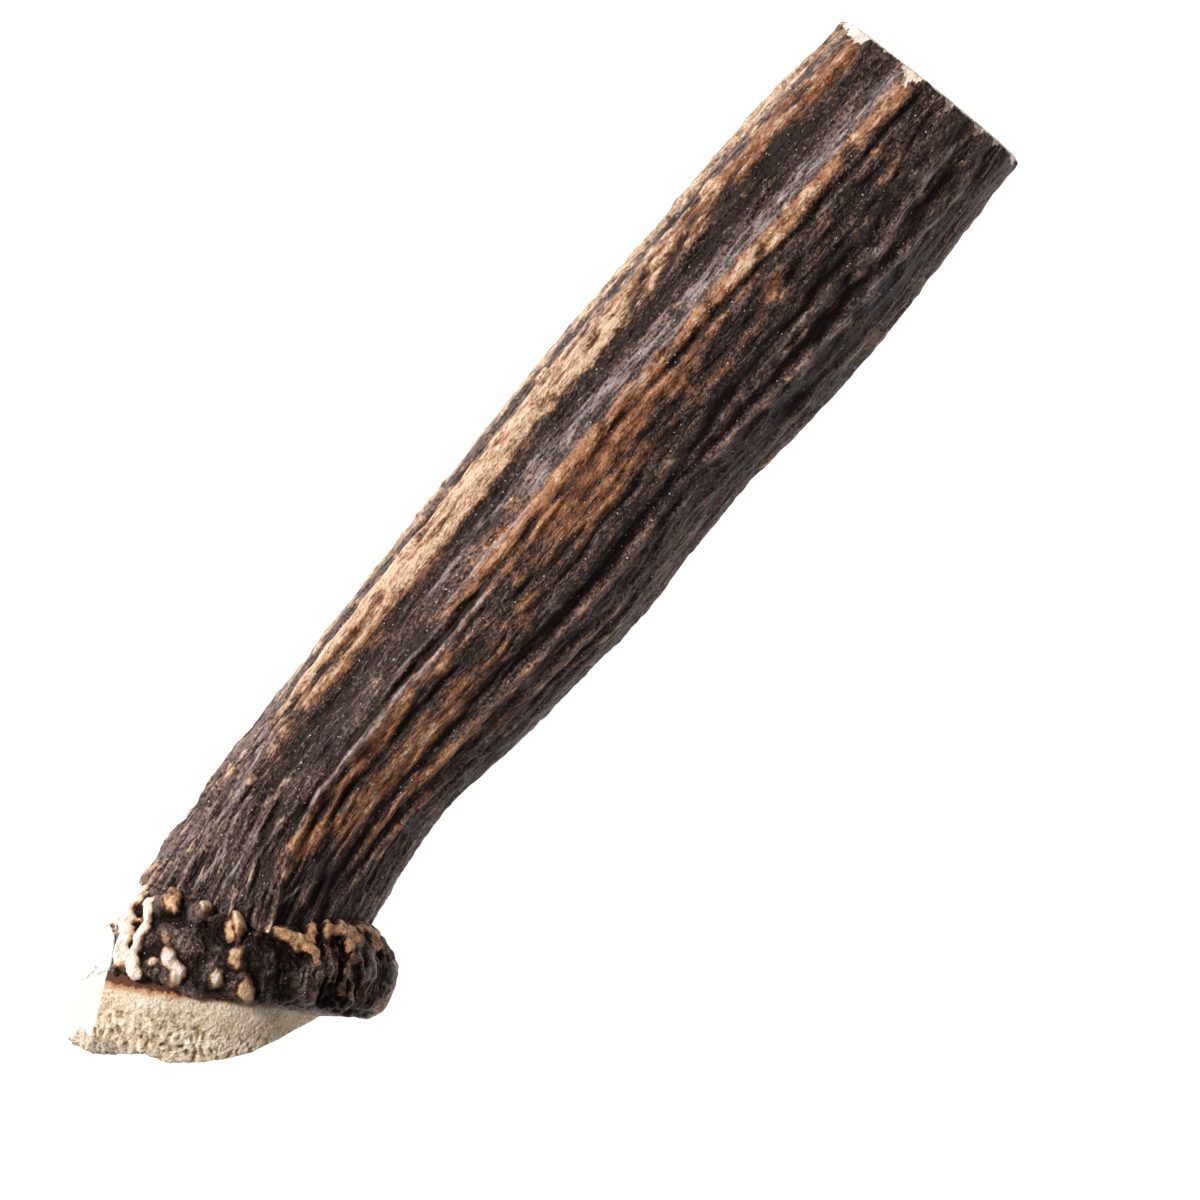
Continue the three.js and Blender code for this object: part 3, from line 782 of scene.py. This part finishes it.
def broken_corner(points):
    """Where the corner between the facet and the broken end has crumbled, from 0 to 1."""
    height, aside = points[..., 0], points[..., 1]
    ragged = 0.5 * noise(points / 1.2, 52)
    bend_height, bend_aside = CRUMBLED_CORNER
    outward = aside - bend_aside
    outer_slope, inner_slope = 1.7, 0.45
    edge = bend_height - outer_slope * np.clip(outward, 0, None) - inner_slope * np.clip(-outward, 0, None)
    return ease(-0.2, 0.4, edge - height + ragged)


def stub_relief(base, chip):
    """Relief in mm on the stub's broken bone, and how deep its pores are, from 0 to 1; the pores also carry
    painted shade in the gaps between the grains.
    """
    height, aside = base[..., 0], base[..., 1]
    worn_side = ease(-1, -8, aside)
    # On the worn side the grain runs slantwise, and the pores are drawn out along it.
    down, over = 0.68, 0.73
    slant = np.stack([down * height - over * aside, over * height + down * aside, base[..., 2]], -1)
    bent = shaken(base, 1.6, 0.3, 46)
    grains = 0.55 - spot_distance(bent / [1.2, 1, 1], 42)
    fine_grains = 0.55 - spot_distance(bent / 0.5, 43)
    drawn = ridged(slant / [3.4, 0.55, 0.55], 47)
    coarse = ease(0.5, -5.5, height)
    holes = ease(0.3, 0.62, noise(bent / [0.9, 0.6, 0.6], 49) + 0.2 * coarse)
    amount = (0.12 + 0.5 * coarse) * (1 - 0.85 * worn_side) * (1 - 0.4 * chip)
    relief = amount * grains + (0.07 + 0.07 * coarse) * fine_grains + 0.07 * worn_side * drawn
    relief -= 0.26 * holes * (0.2 + 0.8 * coarse) * (1 - 0.6 * worn_side)
    relief += 0.16 * noise(base / 3, 41)
    # Painted shade in the gaps between the grains.
    shaded_gaps = ease(-0.05, -0.35, grains) * (0.15 + 0.5 * coarse) * (1 - 0.8 * worn_side)
    pores = holes * (0.35 + 0.65 * coarse) + shaded_gaps + 0.35 * worn_side * ease(0.0, -0.35, drawn)
    return relief * ease(3.2, 1.4, height), np.clip(pores, 0, 1)


# ---- Materials ----


class Shader:
    """A material whose nodes are added and joined by name."""

    def __init__(self, name):
        self.material = bpy.data.materials.new(name)
        self.material.use_nodes = True
        self.tree = self.material.node_tree
        self.surface = self.tree.nodes["Principled BSDF"]

    def node(self, kind, inputs=None, **settings):
        added = self.tree.nodes.new("ShaderNode" + kind)
        for key, value in settings.items():
            setattr(added, key, value)
        for key, value in (inputs or {}).items():
            self.put(added.inputs[key], value)
        return added

    def put(self, socket, value):
        if isinstance(value, bpy.types.NodeSocket):
            self.tree.links.new(value, socket)
        else:
            socket.default_value = value

    def value(self, name):
        return self.node("Attribute", attribute_name=name).outputs["Fac"]

    def place(self, scale):
        """The grain coordinates in mm, times a scale along each axis."""
        grain = self.node("Attribute", attribute_name="grain").outputs["Vector"]
        return self.node("VectorMath", {0: grain, 1: scale}, operation="MULTIPLY").outputs[0]

    def math(self, operation, a, b):
        return self.node("Math", {0: a, 1: b}, operation=operation).outputs[0]

    def noise(self, scale, detail=3):
        """Noise round 0, about -0.3 to 0.3."""
        inputs = {"Vector": self.place(scale), "Scale": 1, "Detail": detail}
        return self.math("SUBTRACT", self.node("TexNoise", inputs).outputs["Fac"], 0.5)

    def plus(self, value, share, other):
        """value + share * other."""
        inputs = {0: other, 1: share, 2: value}
        return self.node("Math", inputs, operation="MULTIPLY_ADD").outputs[0]

    def band(self, value, low, high):
        ranged = {"Value": value, "From Min": low, "From Max": high}
        return self.node("MapRange", ranged, interpolation_type="SMOOTHSTEP").outputs[0]

    def mix(self, share, a, b):
        made = self.node("Mix", data_type="RGBA")
        sockets = {socket.identifier: socket for socket in [*made.inputs, *made.outputs]}
        for name, value in (("Factor_Float", share), ("A_Color", a), ("B_Color", b)):
            self.put(sockets[name], value)
        return sockets["Result_Color"]

    def ramp(self, value, stops):
        made = self.node("ValToRGB", {"Fac": value})
        ramp = made.color_ramp
        while len(ramp.elements) < len(stops):
            ramp.elements.new(0.5)
        for element, (place, colour) in zip(ramp.elements, stops):
            element.position = place
            element.color = (*colour, 1)
        return made.outputs["Color"]

    def bumped(self, height, distance, normal=None):
        inputs = {"Height": height, "Distance": distance * MM}
        if normal is not None:
            inputs["Normal"] = normal
        return self.node("Bump", inputs).outputs["Normal"]

    def glint_and_dust_specks(self, size, share):
        """Small bright points scattered over the surface, as 0 or 1: painted glints, with some specks of
        dust.
        """
        cells = self.node("TexVoronoi", {"Vector": self.place(SPECK_SCALE), "Scale": 1})
        near = self.math("LESS_THAN", cells.outputs["Distance"], size)
        draw = self.node("SeparateColor", {0: cells.outputs["Color"]}).outputs[0]
        return self.math("MULTIPLY", near, self.math("LESS_THAN", draw, share))

    def finish(self, **inputs):
        """Sets the surface's inputs, with _ for each space in a name, and gives the material."""
        for name, value in inputs.items():
            self.put(self.surface.inputs[name.replace("_", " ")], value)
        return self.material


def rgb(r, g, b):
    return (r, g, b, 1)


# Colours of each surface, from its lows to its highs: place on the scale, and colour.
DARK_BARK = [
    (0.25, (0.006, 0.003, 0.002)), (0.5, (0.018, 0.01, 0.008)),
    (0.75, (0.06, 0.034, 0.027)), (1, (0.17, 0.104, 0.088)),
]
WARM_BARK = [
    (0.15, (0.034, 0.012, 0.005)), (0.4, (0.115, 0.038, 0.013)),
    (0.66, (0.225, 0.08, 0.028)), (1, (0.41, 0.19, 0.09)),
]
PALE_BARK = [(0.15, (0.15, 0.068, 0.036)), (0.48, (0.39, 0.21, 0.105)), (0.9, (0.71, 0.5, 0.335))]
# Colours of the painted sheen and highlights on the narrow crests and streaks.
PAINTED_SHEEN_BARK = [(0.2, (0.035, 0.024, 0.022)), (0.9, (0.42, 0.335, 0.32))]
IVORY = [(0.3, (0.78, 0.56, 0.41)), (0.6, (0.92, 0.81, 0.7))]
DARK_BURR = [
    (0.2, (0.006, 0.003, 0.002)), (0.5, (0.011, 0.006, 0.005)),
    (0.75, (0.048, 0.026, 0.021)), (1, (0.17, 0.1, 0.084)),
]
WORN_BURR = [
    (0.1, (0.045, 0.018, 0.011)), (0.28, (0.175, 0.08, 0.044)), (0.46, (0.5, 0.275, 0.138)),
    (0.6, (0.66, 0.44, 0.26)), (0.82, (0.76, 0.61, 0.53)),
]
STUB_BONE = [
    (0.2, (0.31, 0.205, 0.115)), (0.45, (0.59, 0.46, 0.315)),
    (0.7, (0.75, 0.645, 0.5)), (0.95, (0.83, 0.76, 0.65)),
]
CORE_BONE = [(0.35, (0.38, 0.24, 0.13)), (0.65, (0.6, 0.45, 0.28))]
SAWN_BONE = [(0.3, (0.48, 0.44, 0.4)), (0.6, (0.54, 0.51, 0.48))]
LIP_BROWN_AND_SHADE = rgb(0.075, 0.022, 0.009)
STAIN_BROWN = rgb(0.085, 0.024, 0.009)
STAIN_ORANGE = rgb(0.42, 0.17, 0.045)
CHIPPED_BONE = rgb(0.5, 0.41, 0.33)
PORE_BROWN = rgb(0.2, 0.115, 0.055)
RUDDY_BONE = rgb(0.78, 0.57, 0.41)
CORE_PORES = rgb(0.1, 0.055, 0.03)
CORE_SHADE = rgb(0.16, 0.09, 0.05)
GLINT_AND_DUST_SPECK = rgb(0.8, 0.74, 0.66)
SPECK_SCALE = (1.3, 1.3, 1.3)
CUT_BAND = (0.35, 0.65)  # where the colour changes at the edge of a cut
DARK_SHEEN = rgb(1, 0.78, 0.71)  # the reflections of bark and burr are brownish


def bark_material():
    s = Shader("antler_bark")
    fibre = s.noise((0.3, 1.9, 1.9))
    grit = s.noise((2, 3.6, 3.6))
    dapple = s.noise((0.5, 1, 1), 2)
    crest = s.plus(s.plus(s.value("crest"), 1.1, fibre), 1.2, grit)
    cool = s.ramp(s.plus(crest, 1.7, grit), DARK_BARK)
    warm = s.ramp(crest, WARM_BARK)
    pale = s.ramp(s.plus(crest, 0.9, grit), PALE_BARK)
    # Painted highlights and sheen on the narrow crests and streaks.
    painted_sheen = s.ramp(s.plus(s.plus(0.5, 2.3, fibre), 1.4, grit), PAINTED_SHEEN_BARK)
    broken = s.plus(s.math("MULTIPLY", dapple, 1.7), 0.4, grit)
    colour = s.mix(s.band(s.math("ADD", s.value("warm"), broken), 0.25, 0.95), cool, warm)
    colour = s.mix(s.band(s.math("ADD", s.value("pale"), broken), 0.35, 1), colour, pale)
    colour = s.mix(s.band(s.plus(s.value("light"), 1.3, fibre), 0.15, 1.05), colour, painted_sheen)

    saw_marks = s.noise((0.5, 4, 4), 2)
    ivory = s.ramp(s.math("ADD", saw_marks, 0.5), IVORY)
    colour = s.mix(s.band(s.plus(s.value("bare"), 0.8, grit), *CUT_BAND), colour, ivory)
    # Painted glints, with some specks of dust.
    colour = s.mix(s.glint_and_dust_specks(0.11, 0.34), colour, GLINT_AND_DUST_SPECK)

    normal = s.bumped(grit, 0.44, s.bumped(fibre, 0.6))
    gloss = s.plus(s.plus(0.44, 0.6, grit), -0.1, s.value("polish"))
    s.finish(Specular_IOR_Level=0.36, Specular_Tint=DARK_SHEEN)
    return s.finish(Base_Color=colour, Roughness=gloss, Normal=normal)


def burr_material():
    s = Shader("antler_burr")
    grit = s.noise((2.8, 2.8, 2.8))
    mottle = s.noise((0.9, 0.9, 0.9))
    crest = s.plus(s.plus(s.value("crest"), 2, grit), 0.9, mottle)
    # Painted shade in the crevices and a painted grey sheen on the crests, from the relief-led tone.
    dark = s.ramp(crest, DARK_BURR)
    wear = s.plus(s.plus(s.value("worn"), 0.45, mottle), 0.38, grit)
    colour = s.mix(s.band(wear, 0.08, 0.28), dark, s.ramp(wear, WORN_BURR))
    # The ring's lowest edge, next to the stub, is painted dark red-brown: partly its own colour, partly
    # painted shade under the burr.
    colour = s.mix(s.value("lip"), colour, LIP_BROWN_AND_SHADE)
    sawn = s.ramp(s.math("ADD", mottle, 0.5), SAWN_BONE)
    colour = s.mix(s.band(s.value("cut"), *CUT_BAND), colour, sawn)
    # Painted glints, with some specks of dust.
    colour = s.mix(s.glint_and_dust_specks(0.09, 0.14), colour, GLINT_AND_DUST_SPECK)
    normal = s.bumped(grit, 0.3, s.bumped(mottle, 0.45))
    specular = s.plus(0.12, 0.6, s.band(s.plus(s.value("crest"), 0.5, mottle), 0.2, 0.8))
    gloss = s.plus(0.32, 0.6, grit)
    s.finish(Specular_IOR_Level=specular, Specular_Tint=DARK_SHEEN)
    return s.finish(Base_Color=colour, Roughness=gloss, Normal=normal)


def stub_material():
    s = Shader("antler_stub")
    grit = s.noise((2.6, 2.6, 2.6))
    blotch = s.noise((0.3, 0.22, 0.22))
    # The tone follows the relief: lighter on the grains and darker between them, partly the bone's own tone,
    # partly painted highlight and shade.
    tone = s.plus(s.plus(s.value("crest"), 1.1, grit), 0.6, blotch)
    aside = s.node("SeparateXYZ", {0: s.place((1, 1, 1))}).outputs["Y"]
    ruddy = s.math("SUBTRACT", 1, s.band(s.plus(aside, 9, blotch), -11, 1))
    colour = s.mix(s.math("MULTIPLY", ruddy, 0.3), s.ramp(tone, STUB_BONE), RUDDY_BONE)
    # Real pores, and painted shade in the gaps between the grains.
    pore = s.band(s.plus(s.value("pore"), 0.5, grit), 0.15, 0.95)
    colour = s.mix(s.math("MULTIPLY", pore, 0.7), colour, PORE_BROWN)
    colour = s.mix(s.math("MULTIPLY", s.value("chip"), 0.5), colour, CHIPPED_BONE)
    stain = s.plus(s.value("stain"), 1.4, grit)
    colour = s.mix(s.math("MULTIPLY", s.band(stain, -0.85, 0), 0.85), colour, STAIN_ORANGE)
    colour = s.mix(s.band(stain, -0.15, 0.3), colour, STAIN_BROWN)
    sawn = s.ramp(s.math("ADD", blotch, 0.5), SAWN_BONE)
    colour = s.mix(s.band(s.value("cut"), *CUT_BAND), colour, sawn)
    normal = s.bumped(grit, 0.32)
    return s.finish(Base_Color=colour, Roughness=0.72, Normal=normal, Specular_IOR_Level=0.3)


def core_material():
    s = Shader("antler_core")
    pores = s.noise((1.4, 1.4, 1.4))
    broad = s.noise((0.16, 0.16, 0.16), 2)
    bone = s.ramp(s.math("ADD", broad, 0.5), CORE_BONE)
    colour = s.mix(s.band(s.value("pore"), 0.05, 0.45), bone, CORE_PORES)
    colour = s.mix(s.band(pores, 0.05, 0.2), colour, CORE_SHADE)
    return s.finish(Base_Color=colour, Roughness=0.85, Normal=s.bumped(pores, 0.3))


# ---- Stage ----


def build_floor():
    """A pale table top that glows a little, as over a light box, so that shadows stay faint."""
    half = 1.5
    corners = [(-half, -half, 0), (half, -half, 0), (half, half, 0), (-half, half, 0)]
    mesh = bpy.data.meshes.new("floor")
    mesh.from_pydata(corners, [], [(0, 1, 2, 3)])
    material = Shader("floor").finish(
        Base_Color=rgb(0.86, 0.86, 0.86), Roughness=0.9, Emission_Color=rgb(1, 1, 1), Emission_Strength=0.9
    )
    mesh.materials.append(material)
    add_object("floor", mesh)


LIT_POINT = (0, 0, 0.015)


def soft_light(name, place, size, power):
    light = bpy.data.lights.new(name, "AREA")
    light.size = size
    light.energy = power
    obj = add_object(name, light)
    obj.location = place
    aim = Vector(LIT_POINT) - Vector(place)
    obj.rotation_euler = aim.to_track_quat("-Z", "Y").to_euler()


def light_studio():
    soft_light("key", (-0.19, 0.73, 0.6), size=0.22, power=12.8)
    soft_light("overhead", (0.2, -0.2, 1.2), size=0.8, power=1.6)
    soft_light("fill", (0.45, -0.75, 0.45), size=0.6, power=0.7)
    world = bpy.data.worlds.new("studio")
    world.use_nodes = True
    background = world.node_tree.nodes["Background"]
    background.inputs["Color"].default_value = rgb(1, 1, 1)
    background.inputs["Strength"].default_value = 0.16
    scene = bpy.context.scene
    scene.world = world
    scene.view_settings.view_transform = "Standard"


def place_camera():
    """Looks straight down from well above, turned so that the beam runs up to the right."""
    camera = bpy.data.cameras.new("camera")
    obj = add_object("camera", camera)
    distance = 2.4
    width_seen = 0.168
    camera.sensor_width = 36
    camera.lens = camera.sensor_width * distance / width_seen
    camera.clip_start = 0.01
    camera.clip_end = 10
    middle_height = 0.019
    turn = -51
    obj.location = (0.0056, -0.0074, middle_height + distance)
    obj.rotation_euler = (0, 0, math.radians(turn))
    bpy.context.scene.camera = obj


def dress(obj, material, node):
    obj.data.materials.append(material)
    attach(obj, "root")
    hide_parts(node)


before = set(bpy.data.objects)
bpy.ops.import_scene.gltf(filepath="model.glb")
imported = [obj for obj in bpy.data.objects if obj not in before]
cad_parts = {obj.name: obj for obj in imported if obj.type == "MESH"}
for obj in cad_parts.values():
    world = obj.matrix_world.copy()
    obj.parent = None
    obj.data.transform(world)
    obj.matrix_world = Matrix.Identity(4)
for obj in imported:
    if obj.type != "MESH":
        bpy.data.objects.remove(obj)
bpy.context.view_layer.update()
dress(build_bark(), bark_material(), "beam_compact_bone")
dress(build_core(), core_material(), "beam_spongy_core")
dress(build_burr(), burr_material(), "burr_ring")
dress(build_stub(), stub_material(), "pedicle_stub")
build_floor()
light_studio()
place_camera()
